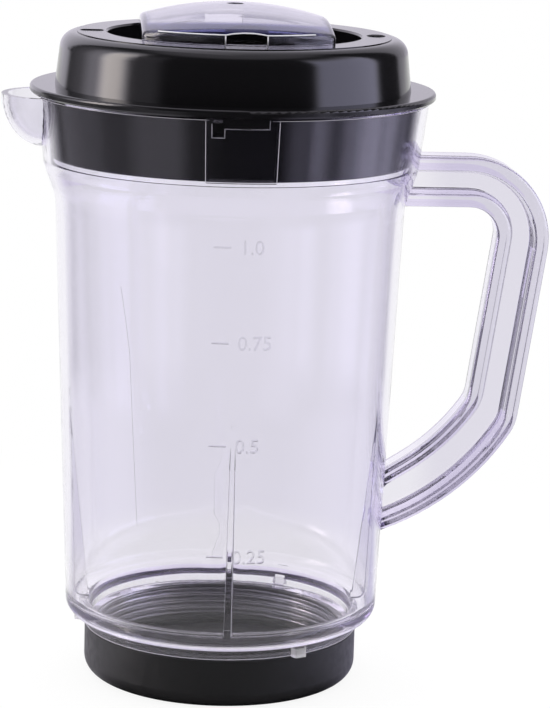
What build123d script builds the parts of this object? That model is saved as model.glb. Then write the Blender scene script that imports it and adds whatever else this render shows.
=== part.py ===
from build123d import *
import math
import os

# Clear pouring jar of a small blender, with a screw-on base cap, a plug-in lid and a lift-out centre cap.
# Z is the jar's axis, the handle is on +X, the spout on -X and the litre scale on -Y. Millimetres and degrees.

# Base cap
base_radius = 43.5
base_height = 16.0
base_wall = 1.7
base_floor = 3.5
base_edge = 5.0
base_rim_bevel = 0.4
base_seat_gap = 0.2

# Gasket under the neck
gasket_thickness = 1.6
gasket_overhang = 0.6
gasket_clearance = 0.5

# Screw neck, plain at the thread's root
thread_room = 1.0
neck_wall = 2.0
throat_rise = 0.3
throat_step = 2.5
throat_step_rise = 2.0

# Jar body
jar_height = 169.8
foot_overhang = 6.0
foot_round = 5.0
foot_thickness = 8.0
foot_inner_round = 3.0
lip_overhang = 0.3
lip_height = 3.4
lip_root_round = 0.5
lip_edge_round = 0.7
ledge_draft = 0.9
ledge_round = 1.0
body_flare = 5.2
shoulder_round = 20.0
shoulder_flare = 3.7
shoulder_rise = 10.0
wall = 2.5

# Collar round the lid
collar_foot_round = 12.0
collar_flare = 2.8
collar_height = 22.5
collar_wall = 2.0
collar_step = 1.2
collar_step_rise = 1.8
rim_bevel = 0.6

# Drive lugs under the foot
lug_count = 3
lug_depth = 3.0
lug_width = 4.2
lug_lift = 0.1
lug_root = 1.0
lug_edge_round = 0.7

# Mixing fins
fin_count = 4
fin_foot_width = 2.6
fin_top_width = 1.6
fin_edge_round = 0.5
fin_depth = 5.0
fin_height = 62.7

# Spout
spout_reach = 13.5
spout_half_width = 16.5
spout_depth = 16.5
spout_drop = 0.8
spout_wall = 2.0
spout_sink = 3.0
spout_section_count = 10

# Bayonet pads and notches in the rim
pad_width = 21.8
pad_height = 19.5
pad_rise = 0.5
pad_bevel = 0.3
notch_width = 14.0
notch_shift = 0.9
notch_depth = 3.1
undercut_reach = 3.0
undercut_depth = 5.8
undercut_roof = 1.4
undercut_lap = 0.8

# Handle, an I-section band with a pocket on each side
handle_thickness = 12.5
handle_web = 4.0
handle_rim = 4.2
handle_draft = 1.2
handle_edge_share = 0.4
handle_drop = 17.5
handle_width = 16.0
outer_arm = 15.7
outer_top_bend = 26.2
outer_grip = 53.4
outer_low_bend = 14.2
outer_low_turn = 24.5
outer_tail_bend = 79.9
outer_tail_turn = 37.6
inner_arm = 16.7
inner_top_bend = 8.7
inner_grip = 49.4
inner_low_bend = 9.9
inner_low_turn = 26.9
inner_tail_bend = 66.4
inner_tail_turn = 23.0
handle_top_turn = 97.8
handle_root_run = 8.0

# Lid
lid_wall = 2.2
skirt_wall = 2.0
skirt_length = 19.3
skirt_clearance = 0.5
skirt_bevel = 0.6
lid_seat_gap = 0.1
flange_overhang = 1.8
flange_thickness = 2.5
flange_round = 0.9
flange_bevel = 0.6
dome_inset = 5.9
dome_lean = 1.9
dome_height = 18.9
dome_round = 5.2
top_border = 4.7
step_depth = 0.3
ring_width = 9.4
recess_depth = 9.4
recess_bevel = 0.6
filler_border = 14.3
mark_depth = 0.5
bar_length = 7.6
bar_width = 1.0
dot_radius = 3.0
lock_clearance = 0.3
lock_slant = 1.5

# Centre cap
cap_clearance = 0.5
cap_overlap = 1.3
cap_seat_gap = 0.1
cap_corner = 3.0
cap_wall = 2.2
cap_rise = 9.2
cap_end_bend = 95.0
cap_front_bend = 185.0
cap_edge_round = 2.0
cap_foot_gap = 0.4
finger_room = 10.1
arch_width = 12.6
arch_height = 3.8
arch_rise = 0.7
arch_shift = 1.6
gate_radius = 2.6
gate_depth = 0.3

# How far a cut runs past the surface that it opens
cut_over = 2.0

# Heights and radii that follow from the sizes above
seat_z = base_height + base_seat_gap
neck_end_z = base_floor + gasket_thickness
foot_radius = base_radius + foot_overhang
shoulder_radius = foot_radius + body_flare
collar_foot_radius = shoulder_radius + shoulder_flare
rim_radius = collar_foot_radius + collar_flare
base_bore = base_radius - base_wall
neck_radius = base_bore - thread_room
neck_bore = neck_radius - neck_wall
floor_z = seat_z + foot_thickness
lip_radius = base_radius + lip_overhang
underside_z = seat_z + lip_height
throat_z = seat_z + throat_rise
throat_radius = neck_bore + throat_step
ledge_radius = throat_radius + ledge_draft
rim_z = seat_z + jar_height
collar_foot_z = rim_z - collar_height
shoulder_z = collar_foot_z - shoulder_rise
step_z = collar_foot_z + collar_step_rise
body_taper = (shoulder_radius - foot_radius) / (shoulder_z - seat_z)
collar_taper = (rim_radius - collar_foot_radius) / collar_height
spout_z = rim_z - spout_drop
spout_slopes = [90 / spout_section_count * index for index in range(spout_section_count)]
handle_edge_round = handle_rim * handle_edge_share
notch_z = rim_z - notch_depth
lid_seat_z = rim_z + lid_seat_gap
flange_z = lid_seat_z + flange_thickness
flange_radius = rim_radius + flange_overhang
dome_foot_radius = rim_radius - dome_inset
dome_top_radius = dome_foot_radius - dome_lean
step_radius = dome_top_radius - top_border
recess_radius = step_radius - ring_width
filler_radius = recess_radius - filler_border
lid_top_z = lid_seat_z + dome_height
recess_z = lid_top_z - recess_depth
cap_seat_z = lid_top_z + cap_seat_gap
cap_top_z = lid_top_z + cap_rise
cap_radius = recess_radius - cap_clearance
cap_foot_z = recess_z + cap_foot_gap
cap_length = 2 * (recess_radius - finger_room)


def body_outside(height):
    """Returns the body's outer radius at a height."""
    return foot_radius + body_taper * (height - seat_z)


def body_inside(height):
    """Returns the body's inner radius at a height."""
    return body_outside(height) - wall


def collar_outside(height):
    """Returns the collar's outer radius at a height."""
    return collar_foot_radius + collar_taper * (height - collar_foot_z)


def collar_inside(height):
    """Returns the collar's inner radius at a height."""
    return collar_outside(height) - collar_wall


def upright_plane(azimuth):
    """Returns the upright plane through the jar's axis that points along an azimuth."""
    turn = math.radians(azimuth)
    along = (math.cos(turn), math.sin(turn), 0)
    across = (math.sin(turn), -math.cos(turn), 0)
    return Plane(origin=(0, 0, 0), x_dir=along, z_dir=across)


def rim_angle(length):
    """Returns the angle that a length round the rim covers."""
    return math.degrees(length / rim_radius)


def corner(sketch, point):
    """Returns the corner of a sketch that is nearest to a point."""
    return sketch.vertices().sort_by_distance(point)[0]


def handle_side(height, arm, top_bend, grip, low_bend, low_turn, tail_bend, tail_turn):
    """Draws one side of the handle, from the collar round to the body, and returns its first and last points."""
    arm_line = Line((body_inside(height) - handle_root_run, height), (arm, height))
    top_arc = JernArc(arm_line @ 1, arm_line % 1, top_bend, -handle_top_turn)
    grip_line = Line(top_arc @ 1, (top_arc @ 1) + (top_arc % 1) * grip)
    low_arc = JernArc(grip_line @ 1, grip_line % 1, low_bend, -low_turn)
    tail_arc = JernArc(low_arc @ 1, low_arc % 1, tail_bend, -tail_turn)
    root_line = Line(tail_arc @ 1, (tail_arc @ 1) + (tail_arc % 1) * handle_root_run)
    return arm_line @ 0, root_line @ 1


def handle_outline(inset):
    """Draws the handle's outline, moved in from both sides by an inset."""
    top_z = rim_z - handle_drop
    outer_ends = handle_side(
        top_z - inset, collar_foot_radius + outer_arm, outer_top_bend - inset, outer_grip,
        outer_low_bend - inset, outer_low_turn, outer_tail_bend - inset, outer_tail_turn)
    inner_ends = handle_side(
        top_z - handle_width + inset, collar_foot_radius + inner_arm, inner_top_bend + inset, inner_grip,
        inner_low_bend + inset, inner_low_turn, inner_tail_bend + inset, inner_tail_turn)
    Line(outer_ends[0], inner_ends[0])
    Line(outer_ends[1], inner_ends[1])


def spout_section(slope, inset):
    """Returns the spout's plan where its keel has a slope, an oval moved in from all sides by an inset."""
    turn = math.radians(slope)
    height = spout_z - (spout_depth - inset) * math.sin(turn)
    reach = (spout_reach - inset) * math.cos(turn)
    half_width = (spout_half_width - inset) * math.cos(turn)
    with BuildSketch(Plane.XY.offset(height)) as oval:
        with Locations((spout_sink - rim_radius, 0)):
            Ellipse(reach, half_width)
    return oval.sketch


def cap_plan(radius, length, corner_round):
    """Draws the centre cap's plan, a circle cut off by two flat ends."""
    Circle(radius)
    Rectangle(length, 2 * radius, mode=Mode.INTERSECT)
    fillet(vertices(), corner_round)


def keep_under_crown(depth):
    """Cuts the piece being built to the domed crown of the centre cap, at a depth under its top."""
    crown_axis = Axis((0, 0, cap_top_z - cap_front_bend), (1, 0, 0))
    swing = math.degrees(math.asin((recess_radius + cap_overlap + cut_over) / cap_front_bend))
    lean = math.radians(swing)
    half_length = cap_length / 2 + cut_over
    crown = cap_front_bend - depth
    side = crown - half_length ** 2 / (2 * cap_end_bend)
    bottom = cap_front_bend / 2
    lean_plane = Plane(
        origin=(0, 0, cap_top_z - cap_front_bend), x_dir=(1, 0, 0), z_dir=(0, -math.cos(lean), -math.sin(lean)))
    with BuildSketch(lean_plane) as crown_outline:
        with BuildLine():
            ThreePointArc((-half_length, side), (0, crown), (half_length, side))
            Polyline((half_length, side), (half_length, bottom), (-half_length, bottom), (-half_length, side))
        make_face()
    revolve(crown_outline.sketch, axis=crown_axis, revolution_arc=-2 * swing, mode=Mode.INTERSECT)


os.makedirs("parts", exist_ok=True)

# Handle, drawn on the jar's XZ plane and joined to the jar below
with BuildPart() as handle:
    with BuildSketch(Plane.XZ):
        with BuildLine():
            handle_outline(0)
        make_face()
    extrude(amount=handle_thickness / 2, both=True)
    for side in (1, -1):
        with BuildSketch(Plane.XZ.offset(side * handle_web / 2)) as pocket_floor:
            with BuildLine():
                handle_outline(handle_rim + handle_draft)
            make_face()
        with BuildSketch(Plane.XZ.offset(side * handle_thickness / 2)) as pocket_mouth:
            with BuildLine():
                handle_outline(handle_rim)
            make_face()
        loft([pocket_floor.sketch, pocket_mouth.sketch], mode=Mode.SUBTRACT)
    handle_sides = handle.faces().filter_by(Axis.Y).group_by(Axis.Y)
    fillet(handle_sides[0].edges() + handle_sides[-1].edges(), handle_edge_round)

# Jar, one clear moulding
with BuildPart() as jar:
    add(handle.part)
    with BuildSketch(Plane.XZ) as body_outline:
        with BuildLine():
            Polyline(
                (0, seat_z), (lip_radius, seat_z), (lip_radius, underside_z),
                (body_outside(underside_z), underside_z), (shoulder_radius, shoulder_z),
                (collar_foot_radius, collar_foot_z), (rim_radius, rim_z), (0, rim_z), close=True)
        make_face()
        fillet(corner(body_outline, (body_outside(underside_z), underside_z)), foot_round)
        fillet(corner(body_outline, (lip_radius, underside_z)), lip_root_round)
        fillet(corner(body_outline, (lip_radius, seat_z)), lip_edge_round)
        fillet(corner(body_outline, (shoulder_radius, shoulder_z)), shoulder_round)
        fillet(corner(body_outline, (collar_foot_radius, collar_foot_z)), collar_foot_round)
        chamfer(corner(body_outline, (rim_radius, rim_z)), rim_bevel)
    revolve(axis=Axis.Z)
    with BuildSketch(Plane.XY.offset(neck_end_z)):
        Circle(neck_radius)
    extrude(amount=seat_z - neck_end_z)

    # Spout outside
    loft([spout_section(slope, 0) for slope in spout_slopes])

    # Bayonet pads on the collar
    for azimuth in (-90, 90):
        pad_foot_z = rim_z - pad_height
        with BuildSketch(upright_plane(azimuth - rim_angle(pad_width / 2))):
            with BuildLine():
                Polyline(
                    (collar_inside(pad_foot_z), pad_foot_z), (collar_outside(pad_foot_z) + pad_rise, pad_foot_z),
                    (rim_radius + pad_rise, rim_z), (collar_inside(rim_z), rim_z), close=True)
            make_face()
        revolve(axis=Axis.Z, revolution_arc=rim_angle(pad_width))

    # Inside of the neck, body and collar
    with BuildSketch(Plane.XZ) as inside_outline:
        with BuildLine():
            Polyline(
                (0, neck_end_z - cut_over), (neck_bore, neck_end_z - cut_over), (neck_bore, throat_z),
                (throat_radius, throat_z + throat_step_rise), (ledge_radius, floor_z),
                (body_inside(floor_z), floor_z), (body_inside(shoulder_z), shoulder_z),
                (collar_inside(step_z) - collar_step, step_z), (collar_inside(step_z), step_z),
                (collar_inside(rim_z + cut_over), rim_z + cut_over), (0, rim_z + cut_over), close=True)
        make_face()
        fillet(corner(inside_outline, (body_inside(floor_z), floor_z)), foot_inner_round)
        fillet(corner(inside_outline, (ledge_radius, floor_z)), ledge_round)
        fillet(corner(inside_outline, (body_inside(shoulder_z), shoulder_z)), shoulder_round)
    revolve(axis=Axis.Z, mode=Mode.SUBTRACT)

    # Bayonet notches, open at the rim, each with an undercut beside it
    for azimuth in (-90, 90):
        notch_start = azimuth + rim_angle(notch_shift - notch_width / 2)
        cut_inner = collar_inside(notch_z) - cut_over
        cut_outer = rim_radius + pad_rise + cut_over
        undercut_z = rim_z - undercut_depth
        undercut_top = rim_z - undercut_roof
        with BuildSketch(upright_plane(notch_start)):
            with BuildLine():
                Polyline(
                    (cut_inner, notch_z), (cut_outer, notch_z), (cut_outer, rim_z + cut_over),
                    (cut_inner, rim_z + cut_over), close=True)
            make_face()
        revolve(axis=Axis.Z, revolution_arc=rim_angle(notch_width), mode=Mode.SUBTRACT)
        with BuildSketch(upright_plane(notch_start - rim_angle(undercut_reach))):
            with BuildLine():
                Polyline(
                    (cut_inner, undercut_z), (cut_outer, undercut_z), (cut_outer, undercut_top),
                    (cut_inner, undercut_top), close=True)
            make_face()
        revolve(axis=Axis.Z, revolution_arc=rim_angle(undercut_reach + undercut_lap), mode=Mode.SUBTRACT)

        # Bevels along the pad's sides and foot
        pad_edges = []
        for turn, rise in ((-pad_width / 2, pad_height / 2), (0, 0), (pad_width / 2, pad_height / 2)):
            edge_turn = math.radians(azimuth + rim_angle(turn))
            edge_z = rim_z - pad_height + rise
            reach = collar_outside(edge_z) + pad_rise
            edge_point = (reach * math.cos(edge_turn), reach * math.sin(edge_turn), edge_z)
            pad_edges.append(jar.edges().sort_by_distance(edge_point)[0])
        chamfer(pad_edges, pad_bevel)

    # Spout inside, open through the collar and up past the rim
    with BuildSketch(Plane.XY.offset(spout_z)):
        with Locations((spout_sink - rim_radius, 0)):
            Ellipse(spout_reach - spout_wall, spout_half_width - spout_wall)
    extrude(amount=spout_drop + cut_over, mode=Mode.SUBTRACT)
    loft([spout_section(slope, spout_wall) for slope in spout_slopes], mode=Mode.SUBTRACT)

    # Fins inside the body, which narrow towards the top
    fin_bottom = floor_z - foot_inner_round
    fin_top = floor_z + fin_height
    for index in range(fin_count):
        turn = math.radians(360 / fin_count * index)
        along = (math.cos(turn), math.sin(turn), 0)
        fin_sections = []
        for height, depth, width in ((fin_bottom, fin_depth, fin_foot_width), (fin_top, 0, fin_top_width)):
            length = depth + wall / 2
            with BuildSketch(Plane(origin=(0, 0, height), x_dir=along, z_dir=(0, 0, 1))) as fin_section:
                with Locations((body_inside(height) + wall / 2 - length / 2, 0)):
                    Rectangle(length, width)
                fillet(fin_section.vertices().sort_by(Axis.X)[:2], fin_edge_round)
            fin_sections.append(fin_section.sketch)
        loft(fin_sections)

    # Drive lugs beside the foot's lip
    with BuildSketch(Plane.XY.offset(seat_z + lug_lift)):
        with PolarLocations(lip_radius + (lug_depth - lug_root) / 2, lug_count, start_angle=180 / lug_count):
            Rectangle(lug_depth + lug_root, lug_width)
        lug_ends = [place for place in vertices() if math.hypot(place.X, place.Y) > lip_radius + lug_depth / 2]
        fillet(lug_ends, lug_edge_round)
    extrude(amount=foot_round)
jar.part.label = "jar"
export_step(jar.part, "parts/jar.step")

# Lid, a moulded shell with a skirt inside the collar
with BuildPart() as lid:
    skirt_foot_z = rim_z - skirt_length
    skirt_foot_radius = collar_inside(skirt_foot_z) - skirt_clearance
    skirt_top_radius = collar_inside(rim_z) - skirt_clearance
    with BuildSketch(Plane.XZ) as lid_outline:
        with BuildLine():
            Polyline(
                (skirt_foot_radius - skirt_wall, skirt_foot_z), (skirt_foot_radius, skirt_foot_z),
                (skirt_top_radius, lid_seat_z), (flange_radius, lid_seat_z), (flange_radius, flange_z),
                (dome_foot_radius, flange_z), (dome_top_radius, lid_top_z - step_depth),
                (step_radius, lid_top_z - step_depth), (step_radius, lid_top_z), (recess_radius, lid_top_z),
                (recess_radius, recess_z), (filler_radius, recess_z), (filler_radius, recess_z - lid_wall),
                (recess_radius + lid_wall, recess_z - lid_wall), (recess_radius + lid_wall, lid_top_z - lid_wall),
                (dome_top_radius - lid_wall, lid_top_z - lid_wall), (dome_foot_radius - lid_wall, lid_seat_z),
                (skirt_top_radius - skirt_wall, lid_seat_z), close=True)
        make_face()
        fillet(corner(lid_outline, (dome_top_radius, lid_top_z - step_depth)), dome_round - step_depth)
        chamfer(corner(lid_outline, (dome_top_radius - lid_wall, lid_top_z - lid_wall)), dome_round - lid_wall)
        fillet(corner(lid_outline, (flange_radius, flange_z)), flange_round)
        chamfer(corner(lid_outline, (flange_radius, lid_seat_z)), flange_bevel)
        chamfer(corner(lid_outline, (recess_radius, lid_top_z)), recess_bevel)
        chamfer(corner(lid_outline, (skirt_foot_radius, skirt_foot_z)), skirt_bevel)
    revolve(axis=Axis.Z)

    # Position marks on the top, a bar and a dot
    mark_radius = (recess_radius + step_radius) / 2
    with BuildSketch(Plane.XY.offset(lid_top_z)):
        with Locations((-mark_radius, 0)):
            Rectangle(bar_length, bar_width)
        with Locations((mark_radius, 0)):
            Circle(dot_radius)
    extrude(amount=-mark_depth, mode=Mode.SUBTRACT)

    # Locking lugs that drop into the rim's notches
    for azimuth in (-90, 90):
        lock_start = azimuth + rim_angle(notch_shift - notch_width / 2 + lock_clearance)
        lock_foot_z = notch_z + lock_clearance
        lock_inner = skirt_top_radius - skirt_wall / 2
        lock_outer = rim_radius + pad_rise
        with BuildSketch(upright_plane(lock_start)):
            with BuildLine():
                Polyline(
                    (lock_inner, lock_foot_z), (lock_outer, lock_foot_z), (lock_outer, lid_seat_z + flange_bevel),
                    (lock_inner, lid_seat_z + flange_bevel), close=True)
            make_face()
        revolve(axis=Axis.Z, revolution_arc=rim_angle(notch_width - 2 * lock_clearance))
        lock_turn = math.radians(lock_start)
        lock_middle = (skirt_top_radius + lock_outer) / 2
        foot_point = (lock_middle * math.cos(lock_turn), lock_middle * math.sin(lock_turn), lock_foot_z)
        chamfer(lid.edges().sort_by_distance(foot_point)[0], lock_slant)
lid.part.label = "lid"
export_step(lid.part, "parts/lid.step")

# Hollow of the centre cap
with BuildPart() as cap_hollow:
    with BuildSketch(Plane.XY.offset(cap_foot_z - cut_over)):
        cap_plan(cap_radius - cap_wall, cap_length - 2 * cap_wall, cap_corner - cap_wall / 2)
    extrude(amount=cap_top_z - cap_foot_z + cut_over)
    keep_under_crown(cap_wall)

# Centre cap, a clear box with a domed top and an arched opening in its front and back walls
with BuildPart() as centre_cap:
    with BuildSketch(Plane.XY.offset(cap_seat_z)):
        cap_plan(recess_radius + cap_overlap, cap_length, cap_corner)
    extrude(amount=cap_rise + cut_over)
    keep_under_crown(0)
    fillet(centre_cap.faces().sort_by(Axis.Z)[-1].edges(), cap_edge_round)
    with BuildSketch(Plane.XY.offset(cap_foot_z)):
        cap_plan(cap_radius, cap_length, cap_corner)
    extrude(amount=cap_seat_z - cap_foot_z)
    add(cap_hollow.part, mode=Mode.SUBTRACT)
    for azimuth in (-90, 90):
        arch_plane = upright_plane(azimuth + 90).offset(cap_length / 2)
        arch_left = arch_shift - arch_width / 2
        arch_right = arch_shift + arch_width / 2
        spring_z = cap_seat_z + arch_height - arch_rise
        with BuildSketch(arch_plane):
            with BuildLine():
                ThreePointArc(
                    (arch_left, spring_z), (arch_shift, cap_seat_z + arch_height), (arch_right, spring_z))
                Polyline(
                    (arch_right, spring_z), (arch_right, cap_seat_z), (arch_left, cap_seat_z), (arch_left, spring_z))
            make_face()
        extrude(amount=cap_length / 2, mode=Mode.SUBTRACT)
    with BuildSketch(Plane.XY.offset(cap_top_z - gate_depth)):
        Circle(gate_radius)
    extrude(amount=cut_over, mode=Mode.SUBTRACT)
centre_cap.part.label = "centre_cap"
export_step(centre_cap.part, "parts/centre_cap.step")

# Base cap, closed, screwed up against the jar's foot
with BuildPart() as base_cap:
    with BuildSketch(Plane.XZ) as base_outline:
        with BuildLine():
            Polyline(
                (0, 0), (base_radius, 0), (base_radius, base_height), (base_bore, base_height),
                (base_bore, base_floor), (0, base_floor), close=True)
        make_face()
        fillet(corner(base_outline, (base_radius, 0)), base_edge)
        chamfer(corner(base_outline, (base_radius, base_height)), base_rim_bevel)
    revolve(axis=Axis.Z)
base_cap.part.label = "base_cap"
export_step(base_cap.part, "parts/base_cap.step")

# Gasket between the neck's end and the cap's floor
with BuildPart() as base_gasket:
    with BuildSketch(Plane.XY.offset(base_floor)):
        Circle(base_bore - gasket_clearance)
        Circle(neck_bore - gasket_overhang, mode=Mode.SUBTRACT)
    extrude(amount=gasket_thickness)
base_gasket.part.label = "base_gasket"
export_step(base_gasket.part, "parts/base_gasket.step")
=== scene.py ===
import math

import bmesh
import bpy
from mathutils import Matrix, Vector


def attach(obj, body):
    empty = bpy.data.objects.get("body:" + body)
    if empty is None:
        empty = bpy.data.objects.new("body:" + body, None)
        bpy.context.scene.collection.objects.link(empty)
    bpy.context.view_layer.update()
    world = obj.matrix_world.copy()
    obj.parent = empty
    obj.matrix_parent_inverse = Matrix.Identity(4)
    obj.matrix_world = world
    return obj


# Clear blender jar with a black lid and base cap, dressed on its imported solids. Metres, Z up.
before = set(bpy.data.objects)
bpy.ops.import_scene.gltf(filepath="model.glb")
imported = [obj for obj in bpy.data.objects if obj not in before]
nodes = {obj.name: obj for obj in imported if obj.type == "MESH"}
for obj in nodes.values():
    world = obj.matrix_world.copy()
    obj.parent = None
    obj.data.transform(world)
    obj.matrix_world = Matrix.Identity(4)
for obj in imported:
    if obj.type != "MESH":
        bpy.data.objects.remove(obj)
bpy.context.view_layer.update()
scene = bpy.context.scene
MM = 0.001


def mm(*values):
    """Returns a vector given in millimetres as one in metres."""
    return Vector(values) * MM


# Camera, at the photograph's place, pan, tilt and roll
CAMERA_PLACE = mm(-47.9, -914.7, 293.8)
CAMERA_PAN = math.radians(3.957)
CAMERA_TILT = math.radians(11.712)
CAMERA_ROLL = math.radians(1.631)
CAMERA_FOCUS_PIXELS = 2956
IMAGE_HEIGHT_PIXELS = 708
SENSOR_WIDTH = 36


def make_camera():
    """Makes the camera from its pan, tilt and roll."""
    ahead = Vector((
        math.sin(CAMERA_PAN) * math.cos(CAMERA_TILT), math.cos(CAMERA_PAN) * math.cos(CAMERA_TILT),
        -math.sin(CAMERA_TILT)))
    level_right = Vector((math.cos(CAMERA_PAN), -math.sin(CAMERA_PAN), 0))
    level_up = level_right.cross(ahead)
    right = math.cos(CAMERA_ROLL) * level_right + math.sin(CAMERA_ROLL) * level_up
    up = math.cos(CAMERA_ROLL) * level_up - math.sin(CAMERA_ROLL) * level_right
    data = bpy.data.cameras.new("camera")
    data.sensor_width = SENSOR_WIDTH
    data.lens = SENSOR_WIDTH * CAMERA_FOCUS_PIXELS / IMAGE_HEIGHT_PIXELS
    data.clip_start = 0.01
    camera = bpy.data.objects.new("camera", data)
    turn = Matrix((right, up, -ahead)).transposed().to_4x4()
    camera.matrix_world = Matrix.Translation(CAMERA_PLACE) @ turn
    scene.collection.objects.link(camera)
    scene.camera = camera


# Small helpers for node trees
def feed(tree, socket, value):
    """Links a socket to another one, or sets its value."""
    if isinstance(value, bpy.types.NodeSocket):
        tree.links.new(value, socket)
    else:
        socket.default_value = value


def math_node(tree, operation, first, second=0.0):
    """Adds a math node and returns its result."""
    node = tree.nodes.new("ShaderNodeMath")
    node.operation = operation
    feed(tree, node.inputs[0], first)
    feed(tree, node.inputs[1], second)
    return node.outputs["Value"]


def ramp_node(tree, value, from_range, to_range):
    """Adds a smooth map from one range to another and returns its result."""
    node = tree.nodes.new("ShaderNodeMapRange")
    node.interpolation_type = "SMOOTHSTEP"
    feed(tree, node.inputs["Value"], value)
    node.inputs["From Min"].default_value = from_range[0]
    node.inputs["From Max"].default_value = from_range[1]
    node.inputs["To Min"].default_value = to_range[0]
    node.inputs["To Max"].default_value = to_range[1]
    return node.outputs["Result"]


def blend_node(tree, share, first, second):
    """Adds a mix of two numbers and returns its result."""
    node = tree.nodes.new("ShaderNodeMix")
    node.data_type = "FLOAT"
    feed(tree, node.inputs["Factor"], share)
    feed(tree, node.inputs["A"], first)
    feed(tree, node.inputs["B"], second)
    return node.outputs["Result"]


def blend_colours(tree, share, first, second):
    """Adds a mix of two colours and returns its result."""
    node = tree.nodes.new("ShaderNodeMix")
    node.data_type = "RGBA"
    feed(tree, node.inputs[0], share)
    feed(tree, node.inputs[6], first)
    feed(tree, node.inputs[7], second)
    return node.outputs[2]


# Studio: a white backdrop behind, a warm soft panel on the left, a cool one on the right, a dark room in
# front. Bearings are in degrees from the camera's side, -Y, with the handle's side positive. Heights are
# the Z of a direction, from -1 to 1. A panel is its start, end, soft edge and level.
BACK_LEVEL = 1.0
BACK_GLOSS_LEVEL = 1.05
BACK_GLOSS_LEFT = 1.4
BACK_GLOSS_RIGHT = 0.75
BACK_START_LEFT = -139
BACK_START_RIGHT = 133
BACK_EDGE = 3
BACK_MIDDLE_RANGE = (150, 180)
ROOM_LEVEL = 0.05
CEILING_LEVEL = 0.7
CEILING_RANGE = (0.80, 0.95)
PANEL_FOOT_RANGE = (-0.11, -0.01)
PANEL_TOP_RANGE = (0.45, 0.85)
PANEL_GLASS_SHARE = 0.5
FRONT_GLASS_LEVEL = 0.7
FRONT_RANGE = (40, 80)
OVERHEAD_RANGE = (0.1, 0.9)
OVERHEAD_LEVEL = 0.9
AMBIENT_RANGE = (-0.5, 0.6)
AMBIENT_LEVELS = (0.08, 0.5)
LEFT_PANEL = (-98, -77.5, 6, 8.0)
LEFT_PANEL_FLANKS = ((-112, -97, 10, 2.0), (-130, -104, 12, 0.5), (-78, -52, 6, 0.42))
RIGHT_PANEL = (53, 104, 4, 3.15)
LEFT_PANEL_COLOUR = (1.0, 0.92, 0.90, 1)
RIGHT_PANEL_COLOUR = (0.76, 0.745, 1.0, 1)
ROOM_COLOUR = (0.92, 0.88, 1.0, 1)
WHITE = (1, 1, 1, 1)


def bearing(tree, vector):
    """Returns a vector's level bearing in degrees from -Y, positive towards +X."""
    split = tree.nodes.new("ShaderNodeSeparateXYZ")
    tree.links.new(vector, split.inputs["Vector"])
    to_front = math_node(tree, "MULTIPLY", split.outputs["Y"], -1)
    angle = math_node(tree, "ARCTAN2", split.outputs["X"], to_front)
    return math_node(tree, "DEGREES", angle)


def band(tree, value, start, end, edge):
    """Returns 1 between a start and an end and 0 outside, with soft edges."""
    rise = ramp_node(tree, value, (start - edge, start + edge), (0, 1))
    fall = ramp_node(tree, value, (end - edge, end + edge), (1, 0))
    return math_node(tree, "MULTIPLY", rise, fall)


def layers(tree, start, *pairs):
    """Adds up a start level and each share times its level."""
    total = start
    for share, level in pairs:
        total = math_node(tree, "ADD", total, math_node(tree, "MULTIPLY", share, level))
    return total


def panel(tree, turn, upright, start, end, edge, level):
    """Returns a panel's share of the room and its level."""
    return math_node(tree, "MULTIPLY", band(tree, turn, start, end, edge), upright), level


def backdrop(tree, turn):
    """Returns the backdrop's level in gloss, brighter on the left than on the right."""
    away = math_node(tree, "ABSOLUTE", turn)
    left = ramp_node(tree, turn, (BACK_START_LEFT - BACK_EDGE, BACK_START_LEFT + BACK_EDGE), (1, 0))
    right = ramp_node(tree, turn, (BACK_START_RIGHT - BACK_EDGE, BACK_START_RIGHT + BACK_EDGE), (0, 1))
    left_level = ramp_node(tree, away, BACK_MIDDLE_RANGE, (BACK_GLOSS_LEFT, BACK_GLOSS_LEVEL))
    right_level = ramp_node(tree, away, BACK_MIDDLE_RANGE, (BACK_GLOSS_RIGHT, BACK_GLOSS_LEVEL))
    return layers(tree, 0.0, (left, left_level), (right, right_level))


def see_through(tree, path):
    """Returns 1 for a ray that has only gone through clear plastic, without a reflection on its way."""
    straight = math_node(tree, "LESS_THAN", path.outputs["Glossy Depth"], 0.5)
    return math_node(tree, "MULTIPLY", path.outputs["Is Transmission Ray"], straight)


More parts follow.
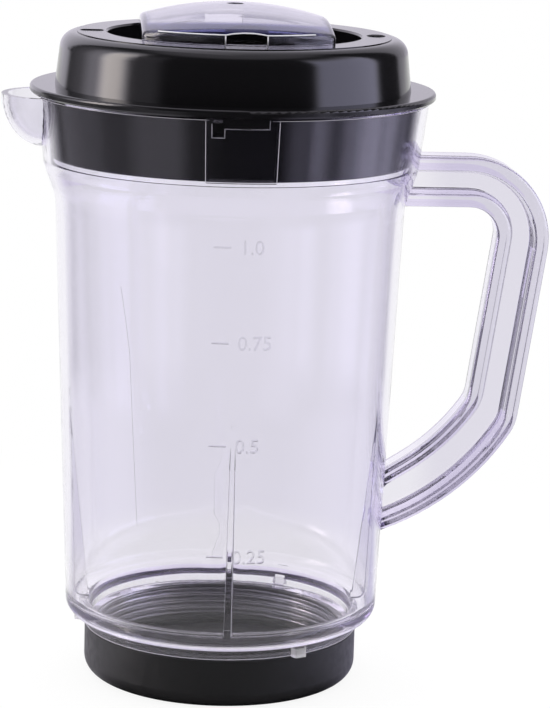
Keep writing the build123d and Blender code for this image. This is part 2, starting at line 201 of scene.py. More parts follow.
def make_world():
    """Makes the studio: white for the camera, and panels, backdrop and dark room for gloss."""
    world = bpy.data.worlds.new("studio")
    scene.world = world
    world.use_nodes = True
    tree = world.node_tree
    tree.nodes.clear()
    output = tree.nodes.new("ShaderNodeOutputWorld")
    light = tree.nodes.new("ShaderNodeBackground")
    place = tree.nodes.new("ShaderNodeTexCoord")
    split = tree.nodes.new("ShaderNodeSeparateXYZ")
    tree.links.new(place.outputs["Generated"], split.inputs["Vector"])
    turn = bearing(tree, place.outputs["Generated"])
    foot = ramp_node(tree, split.outputs["Z"], PANEL_FOOT_RANGE, (0, 1))
    upright = math_node(tree, "MULTIPLY", foot, ramp_node(tree, split.outputs["Z"], PANEL_TOP_RANGE, (1, 0)))
    left_panels = [panel(tree, turn, upright, *sizes) for sizes in (LEFT_PANEL, *LEFT_PANEL_FLANKS)]
    left = left_panels[0][0]
    right, right_level = panel(tree, turn, upright, *RIGHT_PANEL)
    ceiling = ramp_node(tree, split.outputs["Z"], CEILING_RANGE, (ROOM_LEVEL, CEILING_LEVEL))
    plain = math_node(tree, "MAXIMUM", ceiling, backdrop(tree, turn))
    gloss_level = layers(tree, plain, *left_panels, (right, right_level))
    path = tree.nodes.new("ShaderNodeLightPath")
    away = math_node(tree, "ABSOLUTE", turn)
    behind = ramp_node(tree, away, FRONT_RANGE, (FRONT_GLASS_LEVEL, BACK_LEVEL))
    behind = blend_node(tree, see_through(tree, path), behind, BACK_LEVEL)
    glass_level = layers(
        tree, behind, (left, LEFT_PANEL[3] * PANEL_GLASS_SHARE), (right, right_level * PANEL_GLASS_SHARE))
    overhead = ramp_node(tree, split.outputs["Z"], OVERHEAD_RANGE, (0, OVERHEAD_LEVEL))
    from_behind = ramp_node(tree, split.outputs["Y"], AMBIENT_RANGE, AMBIENT_LEVELS)
    ambient = math_node(tree, "ADD", overhead, from_behind)
    level = blend_node(tree, path.outputs["Is Glossy Ray"], ambient, gloss_level)
    level = blend_node(tree, path.outputs["Is Transmission Ray"], level, glass_level)
    level = blend_node(tree, path.outputs["Is Camera Ray"], level, BACK_LEVEL)
    colour = blend_colours(tree, left, ROOM_COLOUR, LEFT_PANEL_COLOUR)
    colour = blend_colours(tree, right, colour, RIGHT_PANEL_COLOUR)
    colour = blend_colours(tree, path.outputs["Is Glossy Ray"], WHITE, colour)
    tree.links.new(colour, light.inputs["Color"])
    tree.links.new(level, light.inputs["Strength"])
    tree.links.new(light.outputs["Background"], output.inputs["Surface"])


# Floor, with a pale sheet round the jar and bands of light and dark beyond it that gloss shows
FLOOR_HALF_SIZE = 3.0
FLOOR_COLOUR = (0.9, 0.9, 0.9, 1)
FLOOR_GLOW = 0.9
FLOOR_GLOW_RANGE = (0.12, 0.30)
FLOOR_BACK_RANGE = (122, 142)
FLOOR_SIDE_RANGE = (-20, 20)
SHEET_ASIDE_RANGE = (45, 85)
SHEET_RADIUS = 0.42
SHEET_EDGE = 0.05
SHEET_LEVEL = 0.7
FLOOR_LEFT_COLOUR = (0.93, 0.9, 1.0, 1)
FLOOR_RIGHT_COLOUR = (0.8, 0.77, 1.0, 1)
FAR_BANDS = (
    (-30, -14, 8, 0.08), (-62, -30, 7, 0.45), (-84, -62, 5, 0.2), (-122, -84, 5, 0.3),
    (30, 44, 6, 0.4), (44, 54, 4, 0.95), (54, 65, 3, 0.35), (65, 76, 4, 0.9), (76, 92, 5, 1.6),
    (92, 108, 6, 1.1), (108, 122, 5, 0.35))


def make_floor():
    """Makes the white floor, which keeps a faint shadow."""
    half = FLOOR_HALF_SIZE
    mesh = bpy.data.meshes.new("floor")
    corners = [(-half, -half, 0), (half, -half, 0), (half, half, 0), (-half, half, 0)]
    mesh.from_pydata(corners, [], [(0, 1, 2, 3)])
    mesh.materials.append(floor_white())
    floor = bpy.data.objects.new("floor", mesh)
    scene.collection.objects.link(floor)


def floor_white():
    """Returns the floor's material, white to the camera and through clear plastic, and banded in gloss."""
    material = bpy.data.materials.new("floor_white")
    material.use_nodes = True
    tree = material.node_tree
    tree.nodes.clear()
    output = tree.nodes.new("ShaderNodeOutputMaterial")
    diffuse = tree.nodes.new("ShaderNodeBsdfDiffuse")
    diffuse.inputs["Color"].default_value = FLOOR_COLOUR
    glow = tree.nodes.new("ShaderNodeEmission")
    place = tree.nodes.new("ShaderNodeNewGeometry")
    turn = bearing(tree, place.outputs["Position"])
    away = tree.nodes.new("ShaderNodeVectorMath")
    away.operation = "LENGTH"
    tree.links.new(place.outputs["Position"], away.inputs[0])
    distance = away.outputs["Value"]
    aside = ramp_node(tree, math_node(tree, "ABSOLUTE", turn), SHEET_ASIDE_RANGE, (0, SHEET_LEVEL))
    far_bands = [(band(tree, turn, start, end, edge), level) for start, end, edge, level in FAR_BANDS]
    far = ramp_node(tree, distance, (SHEET_RADIUS - SHEET_EDGE, SHEET_RADIUS + SHEET_EDGE), (0, 1))
    back = ramp_node(tree, math_node(tree, "ABSOLUTE", turn), FLOOR_BACK_RANGE, (0, 1))
    gloss = blend_node(tree, far, aside, layers(tree, ROOM_LEVEL, *far_bands))
    gloss = blend_node(tree, back, gloss, BACK_LEVEL)
    path = tree.nodes.new("ShaderNodeLightPath")
    clear_view = see_through(tree, path)
    level = blend_node(tree, path.outputs["Is Glossy Ray"], BACK_LEVEL, gloss)
    tree.links.new(blend_node(tree, clear_view, level, BACK_LEVEL), glow.inputs["Strength"])
    side = ramp_node(tree, turn, FLOOR_SIDE_RANGE, (0, 1))
    colour = blend_colours(tree, side, FLOOR_LEFT_COLOUR, FLOOR_RIGHT_COLOUR)
    colour = blend_colours(tree, math_node(tree, "MAXIMUM", back, clear_view), colour, WHITE)
    tree.links.new(blend_colours(tree, path.outputs["Is Glossy Ray"], WHITE, colour), glow.inputs["Color"])
    keep = ramp_node(tree, distance, FLOOR_GLOW_RANGE, (FLOOR_GLOW, 1))
    seen = math_node(tree, "MAXIMUM", path.outputs["Is Camera Ray"], path.outputs["Is Transmission Ray"])
    seen = math_node(tree, "MULTIPLY", seen, keep)
    seen = math_node(tree, "MAXIMUM", seen, path.outputs["Is Glossy Ray"])
    mix = tree.nodes.new("ShaderNodeMixShader")
    tree.links.new(seen, mix.inputs["Fac"])
    tree.links.new(diffuse.outputs["BSDF"], mix.inputs[1])
    tree.links.new(glow.outputs["Emission"], mix.inputs[2])
    tree.links.new(mix.outputs["Shader"], output.inputs["Surface"])
    return material


def area_light(name, place, aim, size, power, colour):
    """Makes a soft box at a place, turned to an aim. Gloss shows the studio's panels in its stead."""
    data = bpy.data.lights.new(name, "AREA")
    data.shape = "RECTANGLE"
    data.size = size[0]
    data.size_y = size[1]
    data.energy = power
    data.color = colour
    lamp = bpy.data.objects.new(name, data)
    lamp.location = place
    lamp.rotation_mode = "QUATERNION"
    lamp.rotation_quaternion = (Vector(aim) - Vector(place)).to_track_quat("-Z", "Y")
    lamp.visible_glossy = False
    lamp.visible_transmission = False
    scene.collection.objects.link(lamp)


# Materials
WALL_IOR = 1.5
MARK_IOR = 1.45


def plastic(name, colour, roughness):
    """Returns a new material, its tree and its main shader."""
    material = bpy.data.materials.new(name)
    material.use_nodes = True
    tree = material.node_tree
    shader = tree.nodes["Principled BSDF"]
    shader.inputs["Base Color"].default_value = (*colour, 1)
    shader.inputs["Roughness"].default_value = roughness
    return material, tree, shader


def noise(tree, scale, detail, stretch=(1, 1, 1)):
    """Adds a noise in the object's own space, with a scale per metre, and returns its value."""
    place = tree.nodes.new("ShaderNodeTexCoord")
    spread = tree.nodes.new("ShaderNodeMapping")
    spread.inputs["Scale"].default_value = stretch
    grain = tree.nodes.new("ShaderNodeTexNoise")
    grain.inputs["Scale"].default_value = scale
    grain.inputs["Detail"].default_value = detail
    tree.links.new(place.outputs["Object"], spread.inputs["Vector"])
    tree.links.new(spread.outputs["Vector"], grain.inputs["Vector"])
    return grain.outputs["Fac"]


def add_bump(tree, shader, height, distance, strength):
    """Gives a shader a bump from a height, a distance in metres and a strength."""
    bump = tree.nodes.new("ShaderNodeBump")
    bump.inputs["Distance"].default_value = distance
    bump.inputs["Strength"].default_value = strength
    tree.links.new(height, bump.inputs["Height"])
    tree.links.new(bump.outputs["Normal"], shader.inputs["Normal"])


def vary_roughness(tree, shader, wear, levels, wear_range=(0.3, 0.7)):
    """Lets a shader's roughness follow a noise between two levels."""
    tree.links.new(ramp_node(tree, wear, wear_range, levels), shader.inputs["Roughness"])


def clear_plastic(name, colour, depth_colour, density):
    """Returns a clear plastic with a tint, which darkens with the length of the light's way through it."""
    material, tree, shader = plastic(name, colour, 0.0)
    shader.inputs["Transmission Weight"].default_value = 1.0
    shader.inputs["IOR"].default_value = WALL_IOR
    absorb = tree.nodes.new("ShaderNodeVolumeAbsorption")
    absorb.inputs["Color"].default_value = (*depth_colour, 1)
    absorb.inputs["Density"].default_value = density
    output = tree.nodes["Material Output"]
    tree.links.new(absorb.outputs["Volume"], output.inputs["Volume"])
    ripple = noise(tree, 60, 1.0, (1, 1, 0.35))
    add_bump(tree, shader, ripple, 0.0004, 0.06)
    return material


# Tints of the clear mouldings, and where on them a tint changes, in metres
JAR_COLOUR = (0.915, 0.902, 0.955)
JAR_DEPTH_COLOUR = (0.4, 0.3, 0.6)
JAR_DENSITY = 10
FOOT_COLOUR = (0.985, 0.98, 0.99, 1)
FOOT_RANGE = (0.031, 0.045)
FOOT_HAZE = 0.03
LUG_HAZE = 0.3
LUG_RADIUS_RANGE = (0.0439, 0.0444)
LUG_HEIGHT_RANGE = (0.0190, 0.0196)
WEB_COLOUR = (0.82, 0.80, 0.88, 1)
HANDLE_RIM_COLOUR = (0.76, 0.745, 0.82, 1)
HANDLE_RANGE = (0.058, 0.070)
HANDLE_RIM_RANGE = (0.0025, 0.0035)
CAP_COLOUR = (0.99, 0.985, 0.995)
CAP_DEPTH_COLOUR = (0.30, 0.29, 0.44)
CAP_DENSITY = 100
# The cap's edges and ends get a dark violet as painted light, for the light that runs along them.
CAP_EDGE_PAINTED_VIOLET = (0.11, 0.11, 0.33, 1)
CAP_EDGE_PAINTED_SHARE = 0.12
CAP_END_RANGE = (0.025, 0.0288)
CAP_EDGE_RANGE = (0.0300, 0.0345)
CAP_WALL_RANGE = (0.2065, 0.2085)


def object_place(tree):
    """Returns the X, Y and Z of a point in the object's own space."""
    place = tree.nodes.new("ShaderNodeTexCoord")
    split = tree.nodes.new("ShaderNodeSeparateXYZ")
    tree.links.new(place.outputs["Object"], split.inputs["Vector"])
    return split.outputs["X"], split.outputs["Y"], split.outputs["Z"]


def axis_distance(tree, x, y):
    """Returns the distance of a point from the jar's axis."""
    squares = math_node(tree, "ADD", math_node(tree, "POWER", x, 2), math_node(tree, "POWER", y, 2))
    return math_node(tree, "SQRT", squares)


def jar_plastic():
    """Returns the jar's clear plastic, deeper in the handle and faintly hazy in its foot and lugs."""
    material = clear_plastic("jar_clear", JAR_COLOUR, JAR_DEPTH_COLOUR, JAR_DENSITY)
    tree = material.node_tree
    x, y, z = object_place(tree)
    handle = ramp_node(tree, x, HANDLE_RANGE, (0, 1))
    rim = ramp_node(tree, math_node(tree, "ABSOLUTE", y), HANDLE_RIM_RANGE, (0, 1))
    colour = blend_colours(tree, rim, WEB_COLOUR, HANDLE_RIM_COLOUR)
    above_foot = ramp_node(tree, z, FOOT_RANGE, (0, 1))
    body = blend_colours(tree, above_foot, FOOT_COLOUR, (*JAR_COLOUR, 1))
    colour = blend_colours(tree, handle, body, colour)
    shader = tree.nodes["Principled BSDF"]
    tree.links.new(colour, shader.inputs["Base Color"])
    outside = ramp_node(tree, axis_distance(tree, x, y), LUG_RADIUS_RANGE, (0, LUG_HAZE))
    lug_haze = math_node(tree, "MULTIPLY", outside, ramp_node(tree, z, LUG_HEIGHT_RANGE, (1, 0)))
    clear = ramp_node(tree, above_foot, (0, 1), (1 - FOOT_HAZE, 1))
    tree.links.new(math_node(tree, "SUBTRACT", clear, lug_haze), shader.inputs["Transmission Weight"])
    return material


def cap_plastic():
    """Returns the centre cap's clear plastic, with violet painted into its edges and ends as the light that
    runs along them.
    """
    material = clear_plastic("cap_clear", CAP_COLOUR, CAP_DEPTH_COLOUR, CAP_DENSITY)
    tree = material.node_tree
    x, y, z = object_place(tree)
    edge = ramp_node(tree, axis_distance(tree, x, y), CAP_EDGE_RANGE, (0, 1))
    end = ramp_node(tree, math_node(tree, "ABSOLUTE", x), CAP_END_RANGE, (0, 1))
    crown = ramp_node(tree, z, CAP_WALL_RANGE, (0, 1))
    share = math_node(tree, "MULTIPLY", math_node(tree, "MAXIMUM", edge, end), crown)
    shader = tree.nodes["Principled BSDF"]
    tree.links.new(blend_colours(tree, share, (*CAP_COLOUR, 1), CAP_EDGE_PAINTED_VIOLET), shader.inputs["Base Color"])
    clear = ramp_node(tree, share, (0, 1), (1, 1 - CAP_EDGE_PAINTED_SHARE))
    tree.links.new(clear, shader.inputs["Transmission Weight"])
    return material


def mark_plastic(name, colour):
    """Returns the clear plastic of a raised mark or thread, a little less dense than the wall it is on."""
    material, tree, shader = plastic(name, colour, 0.0)
    shader.inputs["Transmission Weight"].default_value = 1.0
    shader.inputs["IOR"].default_value = MARK_IOR
    add_bump(tree, shader, noise(tree, 300, 2.0), 0.0001, 0.05)
    return material


def lid_plastic():
    """Returns the lid's polished black plastic, with faint flow marks and fine wear."""
    material, tree, shader = plastic("lid_gloss_black", (0.0045, 0.0043, 0.005), 0.13)
    vary_roughness(tree, shader, noise(tree, 900, 6.0), (0.125, 0.145), (0.3, 0.75))
    add_bump(tree, shader, noise(tree, 90, 2.0), 0.0002, 0.05)
    return material


def base_plastic():
    """Returns the base cap's satin black plastic, with a fine spark-eroded grain."""
    material, tree, shader = plastic("base_satin_black", (0.018, 0.0175, 0.019), 0.42)
    vary_roughness(tree, shader, noise(tree, 350, 5.0), (0.36, 0.48))
    add_bump(tree, shader, noise(tree, 3500, 2.0), 0.00003, 0.35)
    return material


def thread_plastic():
    """Returns the black plastic of the thread, polished by use."""
    material, tree, shader = plastic("thread_black", (0.02, 0.0195, 0.021), 0.2)
    vary_roughness(tree, shader, noise(tree, 500, 4.0), (0.16, 0.26))
    return material


def gasket_rubber():
    """Returns the gasket's matt black silicone."""
    material, tree, shader = plastic("gasket_silicone", (0.03, 0.03, 0.031), 0.6)
    vary_roughness(tree, shader, noise(tree, 600, 4.0), (0.5, 0.7))
    return material


def dress(node, material):
    """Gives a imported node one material."""
    mesh = nodes[node].data
    mesh.materials.clear()
    mesh.materials.append(material)


def make_piece(name, mesh, material, body, smooth=True):
    """Makes a piece from a mesh, gives it a material and lets it ride on a body."""
    for face in mesh.polygons:
        face.use_smooth = smooth
    mesh.materials.append(material)
    piece = bpy.data.objects.new(name, mesh)
    scene.collection.objects.link(piece)
    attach(piece, body)
    return piece


# Small helpers for meshes
def join_rows(shape, rows):
    """Joins closed rows of corners into a skin and closes both of its ends."""
    for low, high in zip(rows, rows[1:]):
        for index in range(len(low)):
            following = (index + 1) % len(low)
            shape.faces.new((low[index], low[following], high[following], high[index]))
    shape.faces.new(rows[0])
    shape.faces.new(list(reversed(rows[-1])))


def finish_mesh(name, shape):
    """Turns a shape's faces outwards and returns it as a mesh."""
    mesh = bpy.data.meshes.new(name)
    bmesh.ops.recalc_face_normals(shape, faces=shape.faces)
    shape.to_mesh(mesh)
    shape.free()
    return mesh


# Screw thread between the neck and the base cap, in millimetres
THREAD_PITCH = 2.2
THREAD_STEPS = 96
THREAD_BOTTOM = 6.2
THREAD_TOP = 14.9
BORE_RADIUS = 41.8
BORE_CREST = 41.2
NECK_RADIUS = 40.8
NECK_CREST = 41.3
THREAD_HALF = 0.95
THREAD_FACETS = 8
THREAD_SINK = 0.05
THREAD_TAPER_TURNS = 0.2
THREAD_END_SHARE = 0.02


def thread_mesh(name, root, crest, shift):
    """Returns a closed helical ridge from a root radius to a crest radius, with ends that run out."""
    turns = (THREAD_TOP - THREAD_BOTTOM) / THREAD_PITCH
    count = int(turns * THREAD_STEPS)
    shape = bmesh.new()
    rows = []
    for step in range(count + 1):
        turn = step / THREAD_STEPS
        to_end = min(turn, count / THREAD_STEPS - turn)
        grow = min(1.0, to_end / THREAD_TAPER_TURNS)
        angle = 2 * math.pi * turn
        middle = THREAD_BOTTOM + shift + THREAD_PITCH * turn
        tip = root + (crest - root) * (THREAD_END_SHARE + (1 - THREAD_END_SHARE) * grow)
        back = root - THREAD_SINK if crest > root else root + THREAD_SINK
        profile = [(back, -THREAD_HALF)]
        for facet in range(THREAD_FACETS + 1):
            share = 2 * facet / THREAD_FACETS - 1
            profile.append((root + (tip - root) * math.cos(math.pi / 2 * share) ** 2, THREAD_HALF * share))
        profile.append((back, THREAD_HALF))
        row = []
        for radius, rise in profile:
            place = mm(radius * math.cos(angle), radius * math.sin(angle), middle + rise)
            row.append(shape.verts.new(place))
        rows.append(row)
    join_rows(shape, rows)
    return finish_mesh(name, shape)


# Litre scale, raised on the outside of the body, in millimetres
SCALE_HEIGHTS = {"0.25": 51.1, "0.5": 86.0, "0.75": 117.8, "1.0": 146.9}
FOOT_Z = 16.2
FOOT_RADIUS = 49.5
SHOULDER_Z = 153.5
SHOULDER_RADIUS = 54.7
SCALE_RISE = 0.35
SCALE_GAP = 0.004


def body_radius(height):
    """Returns the body's outer radius at a height, in millimetres."""
    return FOOT_RADIUS + (SHOULDER_RADIUS - FOOT_RADIUS) * (height - FOOT_Z) / (SHOULDER_Z - FOOT_Z)


def wrap_on_body(mesh):
    """Wraps a flat mesh, drawn in millimetres in X and Z with its depth in Y, on the front of the body."""
    for vertex in mesh.vertices:
        across, depth, height = vertex.co
        radius = body_radius(height) + SCALE_GAP + depth
        angle = across / body_radius(height)
        vertex.co = mm(radius * math.sin(angle), -radius * math.cos(angle), height)
    mesh.update()


def slab(shape, left, right, low, high, parts):
    """Adds a flat bar to a mesh, cut across into parts so that it can bend round the body."""
    rows = []
    for index in range(parts + 1):
        across = left + (right - left) * index / parts
        rows.append([
            shape.verts.new((across, depth, height))
            for depth, height in ((0, low), (SCALE_RISE, low), (SCALE_RISE, high), (0, high))])
    join_rows(shape, rows)


TICK_LEFT = -7.4
TICK_RIGHT = -2.2
TICK_THICKNESS = 0.45
TICK_PARTS = 6
NUMBER_LEFT = 0.4
NUMBER_SIZE = 6.1


def tick_mesh():
    """Returns the four ticks of the scale."""
    half = TICK_THICKNESS / 2
    shape = bmesh.new()
    for height in SCALE_HEIGHTS.values():
        slab(shape, TICK_LEFT, TICK_RIGHT, height - half, height + half, TICK_PARTS)
    mesh = finish_mesh("scale_ticks", shape)
    wrap_on_body(mesh)
    return mesh


def number_mesh(text, height):
    """Returns one number of the scale."""
    curve = bpy.data.curves.new("number", "FONT")
    curve.body = text
    curve.size = NUMBER_SIZE
    curve.extrude = SCALE_RISE / 2
    curve.resolution_u = 4
    holder = bpy.data.objects.new("number", curve)
    scene.collection.objects.link(holder)
    bpy.context.view_layer.update()
    mesh = bpy.data.meshes.new_from_object(holder.evaluated_get(bpy.context.evaluated_depsgraph_get()))
    bpy.data.objects.remove(holder)
    bpy.data.curves.remove(curve)
    tops = [vertex.co.y for vertex in mesh.vertices]
    middle = (max(tops) + min(tops)) / 2
    for vertex in mesh.vertices:
        across, up, depth = vertex.co
        vertex.co = (NUMBER_LEFT + across, SCALE_RISE / 2 + depth, height + up - middle)
    shape = bmesh.new()
    shape.from_mesh(mesh)
    bmesh.ops.remove_doubles(shape, verts=shape.verts, dist=0.001)
    bmesh.ops.recalc_face_normals(shape, faces=shape.faces)
    shape.to_mesh(mesh)
    shape.free()
    wrap_on_body(mesh)
    mesh.name = "scale_number"
    return mesh


# Highlights painted as pale tubes along edges of the mouldings, and a scratch on the body, in millimetres
COLLAR_FOOT_Z = 163.5
COLLAR_FOOT_RADIUS = 58.4
RIM_Z = 186.0
RIM_RADIUS = 61.2
RIM_BEVEL = 0.6
PAD_RISE = 0.2
PAD_FOOT_Z = 166.5
PAD_HALF = 10.9
PAD_TOP_GAP = 0.4
NOTCH_RIGHT = 7.9
NOTCH_Z = 182.9
HOOK_LEFT = -9.1
HOOK_RIGHT = -5.3
HOOK_Z = 180.2
HOOK_TOP_GAP = 1.6
HOOK_TURN = (-9.3, 8.1)
SPOUT_HALF_TURN = 16.5
LIP_EDGE_RADIUS = 43.6
LIP_EDGE_Z = 16.35
WALL = 2.5
FIN_FOOT_Z = 21.2
FIN_TOP_Z = 86.9
FIN_DEPTH = 5.0
FIN_HALF_WIDTHS = (1.3, 0.8)
FIN_EDGE_INSET = 0.15
FIN_EDGE_ENDS = (24.4, 78.0)
CAP_RADIUS = 40.6
CAP_EDGE_Z = 208.2
CAP_SEAT_Z = 205.3
CAP_EDGE_ENDS = (-24.5, 22.5)
ARCH_LEFT = -4.7
ARCH_RIGHT = 7.9
ARCH_RISE = 0.7
EDGE_RADIUS = 0.13
FINE_EDGE_RADIUS = 0.1
CAP_EDGE_RADIUS = 0.22
SCRATCH_RADIUS = 0.05
LINE_STEP = 2.0
TUBE_SIDES = 6
SCRATCH_PLACES = ((-37.3, 132.4), (-35.3, 122.5), (-33.6, 112.0), (-31.8, 84.9), (-29.9, 58.3))


def on_collar(across, height, side):
    """Returns a place on a bayonet pad, given its way round from the pad's middle and its height."""
    slope = (RIM_RADIUS - COLLAR_FOOT_RADIUS) / (RIM_Z - COLLAR_FOOT_Z)
    radius = COLLAR_FOOT_RADIUS + slope * (height - COLLAR_FOOT_Z) + PAD_RISE
    angle = across / RIM_RADIUS
    return mm(side * radius * math.sin(angle), -side * radius * math.cos(angle), height)


def on_body(across, height):
    """Returns a place on the body, given its way round from the front and its height."""
    radius = body_radius(height)
    angle = across / radius
    return mm(radius * math.sin(angle), -radius * math.cos(angle), height)


def fine_steps(corners):
    """Returns points along straight runs between corners, close enough to follow a round wall."""
    points = [corners[0]]
    for start, end in zip(corners, corners[1:]):
        count = max(1, round(math.dist(start, end) / LINE_STEP))
        for step in range(1, count + 1):
            share = step / count
            points.append(tuple(a + (b - a) * share for a, b in zip(start, end)))
    return points


def add_tube(shape, path, radius):
    """Adds a thin closed tube along a path round the jar's axis."""
    rings = []
    for index, place in enumerate(path):
        ahead = (path[min(index + 1, len(path) - 1)] - path[max(index - 1, 0)]).normalized()
        outward = Vector((place.x, place.y, 0)).normalized()
        aside = ahead.cross(outward).normalized()
        ring = []
        for side in range(TUBE_SIDES):
            angle = 2 * math.pi * side / TUBE_SIDES
            ring.append(shape.verts.new(
                place + radius * MM * (math.cos(angle) * outward + math.sin(angle) * aside)))
        rings.append(ring)
    join_rows(shape, rings)


def tubes_mesh(name, paths, radius):
    """Returns thin tubes along paths as one mesh."""
    shape = bmesh.new()
    for path in paths:
        add_tube(shape, path, radius)
    return finish_mesh(name, shape)


def pad_edge_paths():
    """Returns the outlines of the two bayonet pads, their notches and hooks."""
    top = RIM_Z - PAD_TOP_GAP
    outlines = (
        [(-PAD_HALF, top), (-PAD_HALF, PAD_FOOT_Z)],
        [(PAD_HALF, PAD_FOOT_Z), (PAD_HALF, top)],
        [(HOOK_LEFT, RIM_Z - HOOK_TOP_GAP), (HOOK_LEFT, HOOK_Z), (HOOK_RIGHT, HOOK_Z),
         (HOOK_RIGHT, NOTCH_Z), (NOTCH_RIGHT, NOTCH_Z), (NOTCH_RIGHT, top)])
    return [
        [on_collar(*place, side) for place in fine_steps(outline)]
        for outline in outlines for side in (1, -1)]


def ring_path(radius, height, start, end):
    """Returns an arc round the jar's axis between two bearings in degrees from the front."""
    count = max(2, round(math.radians(end - start) * radius / LINE_STEP))
    path = []
    for step in range(count + 1):
        angle = math.radians(start + (end - start) * step / count)
        path.append(mm(radius * math.sin(angle), -radius * math.cos(angle), height))
    return path


def rim_paths():
    """Returns the rim's outer edge, left open at the spout and at the two notches."""
    first, last = HOOK_TURN
    return [
        ring_path(RIM_RADIUS, RIM_Z - RIM_BEVEL, start, end)
        for start, end in (
            (last, 180 + first), (180 + last, 270 - SPOUT_HALF_TURN), (270 + SPOUT_HALF_TURN, 360 + first))]


def fin_paths():
    """Returns the two inner edges of the fin beside the scale."""
    paths = []
    for side in (-1, 1):
        path = []
        for height in FIN_EDGE_ENDS:
            share = (height - FIN_FOOT_Z) / (FIN_TOP_Z - FIN_FOOT_Z)
            radius = body_radius(height) - WALL - FIN_DEPTH * (1 - share) + FIN_EDGE_INSET
            half = FIN_HALF_WIDTHS[0] + (FIN_HALF_WIDTHS[1] - FIN_HALF_WIDTHS[0]) * share - FIN_EDGE_INSET
            path.append(mm(side * half, -radius, height))
        paths.append(path)
    return paths


def on_cap(across, height, side):
    """Returns a place on the centre cap's front or back wall."""
    return mm(side * across, -side * math.sqrt(CAP_RADIUS ** 2 - across ** 2), height)


def cap_edge_paths():
    """Returns the lower edge of the centre cap's crown, front and back, with the arch and its two sides."""
    middle = (ARCH_LEFT + ARCH_RIGHT) / 2
    half = (ARCH_RIGHT - ARCH_LEFT) / 2
    places = fine_steps([(CAP_EDGE_ENDS[0], CAP_EDGE_Z), (ARCH_LEFT, CAP_EDGE_Z)])
    places += fine_steps([(ARCH_LEFT, CAP_EDGE_Z), (ARCH_RIGHT, CAP_EDGE_Z)])[1:]
    places += fine_steps([(ARCH_RIGHT, CAP_EDGE_Z), (CAP_EDGE_ENDS[1], CAP_EDGE_Z)])[1:]
    edge = []
    for across, height in places:
        share = min(1.0, abs(across - middle) / half)
        edge.append((across, height + ARCH_RISE * (1 - share ** 2)))
    outlines = [edge]
    for across in (ARCH_LEFT, ARCH_RIGHT):
        outlines.append([(across, CAP_EDGE_Z), (across, CAP_SEAT_Z)])
    return [[on_cap(*place, side) for place in outline] for outline in outlines for side in (1, -1)]


def painted_highlight_plastic(name, colour):
    """Returns a pale matt plastic that paints the highlight of a moulded edge that catches the light."""
    material, tree, shader = plastic(name, colour, 0.25)
    vary_roughness(tree, shader, noise(tree, 400, 3.0), (0.2, 0.4))
    return material


def scratch_plastic():
    """Returns the grey of a fine scratch, uneven along its length."""
    material, tree, shader = plastic("scratch_grey", (0.42, 0.41, 0.44), 0.5)
    vary_roughness(tree, shader, noise(tree, 800, 3.0), (0.4, 0.6))
    return material


# Black pads painted as the shade of deep recesses in the lid's marks, in millimetres
MARK_RADIUS = 44.0
MARK_FLOOR_Z = 204.52
MARK_RISE = 0.75
DOT_RADIUS = 2.9
BAR_LENGTH = 7.4
BAR_WIDTH = 0.9
DOT_STEPS = 32
MARK_PROFILE = ((1.0, 0.0), (1.0, 0.6), (0.93, 0.85), (0.75, 1.0))


def mark_outline(length, width):
    """Returns a rounded outline, a circle where length and width are the same."""
    half = (length - width) / 2
    points = []
    for step in range(DOT_STEPS):
        angle = 2 * math.pi * (step + 0.5) / DOT_STEPS
        shift = half if math.cos(angle) > 0 else -half
        points.append((shift + width / 2 * math.cos(angle), width / 2 * math.sin(angle)))
    return points


def mark_shade_mesh(name, middle, length, width):
    """Returns a black pad painted as the shade deep in a lid mark, a low pad with a rounded top."""
    shape = bmesh.new()
    rings = []
    for share, rise in MARK_PROFILE:
        height = MARK_FLOOR_Z + MARK_RISE * rise
        rings.append([
            shape.verts.new(mm(middle + across * share, aside * share, height))
            for across, aside in mark_outline(length, width)])
    join_rows(shape, rings)
    return finish_mesh(name, shape)


def mark_shade_plastic():
    """Returns the matt black of the shade painted in the lid's marks."""
    material, tree, shader = plastic("mark_painted_shade", (0.004, 0.004, 0.005), 0.7)
    shader.inputs["Specular IOR Level"].default_value = 0.15
    vary_roughness(tree, shader, noise(tree, 1200, 3.0), (0.6, 0.8))
    return material


# Light that is thrown about inside the clear mouldings needs many bounces
scene.cycles.max_bounces = 40
scene.cycles.glossy_bounces = 32
scene.cycles.transmission_bounces = 40

make_camera()
make_world()
make_floor()
area_light("left_softbox", place=(-1.1, 0.0, 0.45), aim=(0, 0, 0.12), size=(0.7, 0.9), power=5,
           colour=(1.0, 0.955, 0.93))
area_light("right_softbox", place=(1.1, -0.15, 0.45), aim=(0, 0, 0.12), size=(0.9, 0.9), power=4,
           colour=(0.92, 0.90, 1.0))
area_light("top_softbox", place=(0, 0.1, 1.3), aim=(0, 0, 0.1), size=(1.0, 0.8), power=9, colour=(1, 1, 1))

dress("jar", jar_plastic())
dress("centre_cap", cap_plastic())
thread_clear = mark_plastic("neck_thread_clear", (1, 1, 1))
scale_clear = mark_plastic("scale_clear", (0.93, 0.925, 0.94))
dress("lid", lid_plastic())
dress("base_cap", base_plastic())
dress("base_gasket", gasket_rubber())

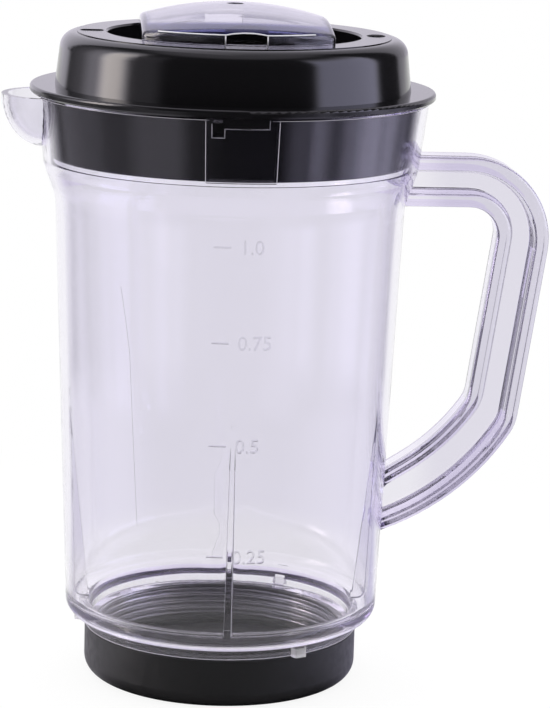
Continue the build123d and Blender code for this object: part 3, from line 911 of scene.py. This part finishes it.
# Clear mouldings throw next to no shadow
nodes["jar"].visible_shadow = False
nodes["centre_cap"].visible_shadow = False

make_piece("base_thread", thread_mesh("base_thread", BORE_RADIUS, BORE_CREST, 0), thread_plastic(),
           "base_cap_body")
make_piece("neck_thread", thread_mesh("neck_thread", NECK_RADIUS, NECK_CREST, THREAD_PITCH / 2), thread_clear,
           "jar_body")
make_piece("scale_ticks", tick_mesh(), scale_clear, "jar_body", smooth=False)
for label, height in SCALE_HEIGHTS.items():
    piece_name = "scale_number_" + label.replace(".", "_")
    make_piece(piece_name, number_mesh(label, height), scale_clear, "jar_body", smooth=False)

# Pale tubes along the pads, rim, lip, fin and cap edges are painted highlights.
dim_highlight_material = painted_highlight_plastic("edge_painted_highlight_dim", (0.5, 0.48, 0.54))
bright_highlight_material = painted_highlight_plastic("edge_painted_highlight", (0.94, 0.93, 0.97))
make_piece("pad_edges", tubes_mesh("pad_edges", pad_edge_paths(), EDGE_RADIUS), dim_highlight_material, "jar_body")
make_piece("rim_edge", tubes_mesh("rim_edge", rim_paths(), FINE_EDGE_RADIUS), dim_highlight_material, "jar_body")
make_piece("lip_edge", tubes_mesh("lip_edge", [ring_path(LIP_EDGE_RADIUS, LIP_EDGE_Z, 0, 360)], EDGE_RADIUS),
           dim_highlight_material, "jar_body")
make_piece("fin_edges", tubes_mesh("fin_edges", fin_paths(), FINE_EDGE_RADIUS), bright_highlight_material,
           "jar_body")
make_piece("cap_edges", tubes_mesh("cap_edges", cap_edge_paths(), CAP_EDGE_RADIUS), bright_highlight_material,
           "centre_cap_body")
scratch_path = [on_body(*place) for place in fine_steps(SCRATCH_PLACES)]
make_piece("scratch", tubes_mesh("scratch", [scratch_path], SCRATCH_RADIUS), scratch_plastic(), "jar_body")
# Matt black pads in the lid's dot and bar are painted shade.
mark_shade_material = mark_shade_plastic()
make_piece("lid_dot", mark_shade_mesh("lid_dot", MARK_RADIUS, 2 * DOT_RADIUS, 2 * DOT_RADIUS), mark_shade_material,
           "lid_body")
make_piece("lid_bar", mark_shade_mesh("lid_bar", -MARK_RADIUS, BAR_LENGTH, BAR_WIDTH), mark_shade_material,
           "lid_body")

scene.view_settings.view_transform = "Standard"
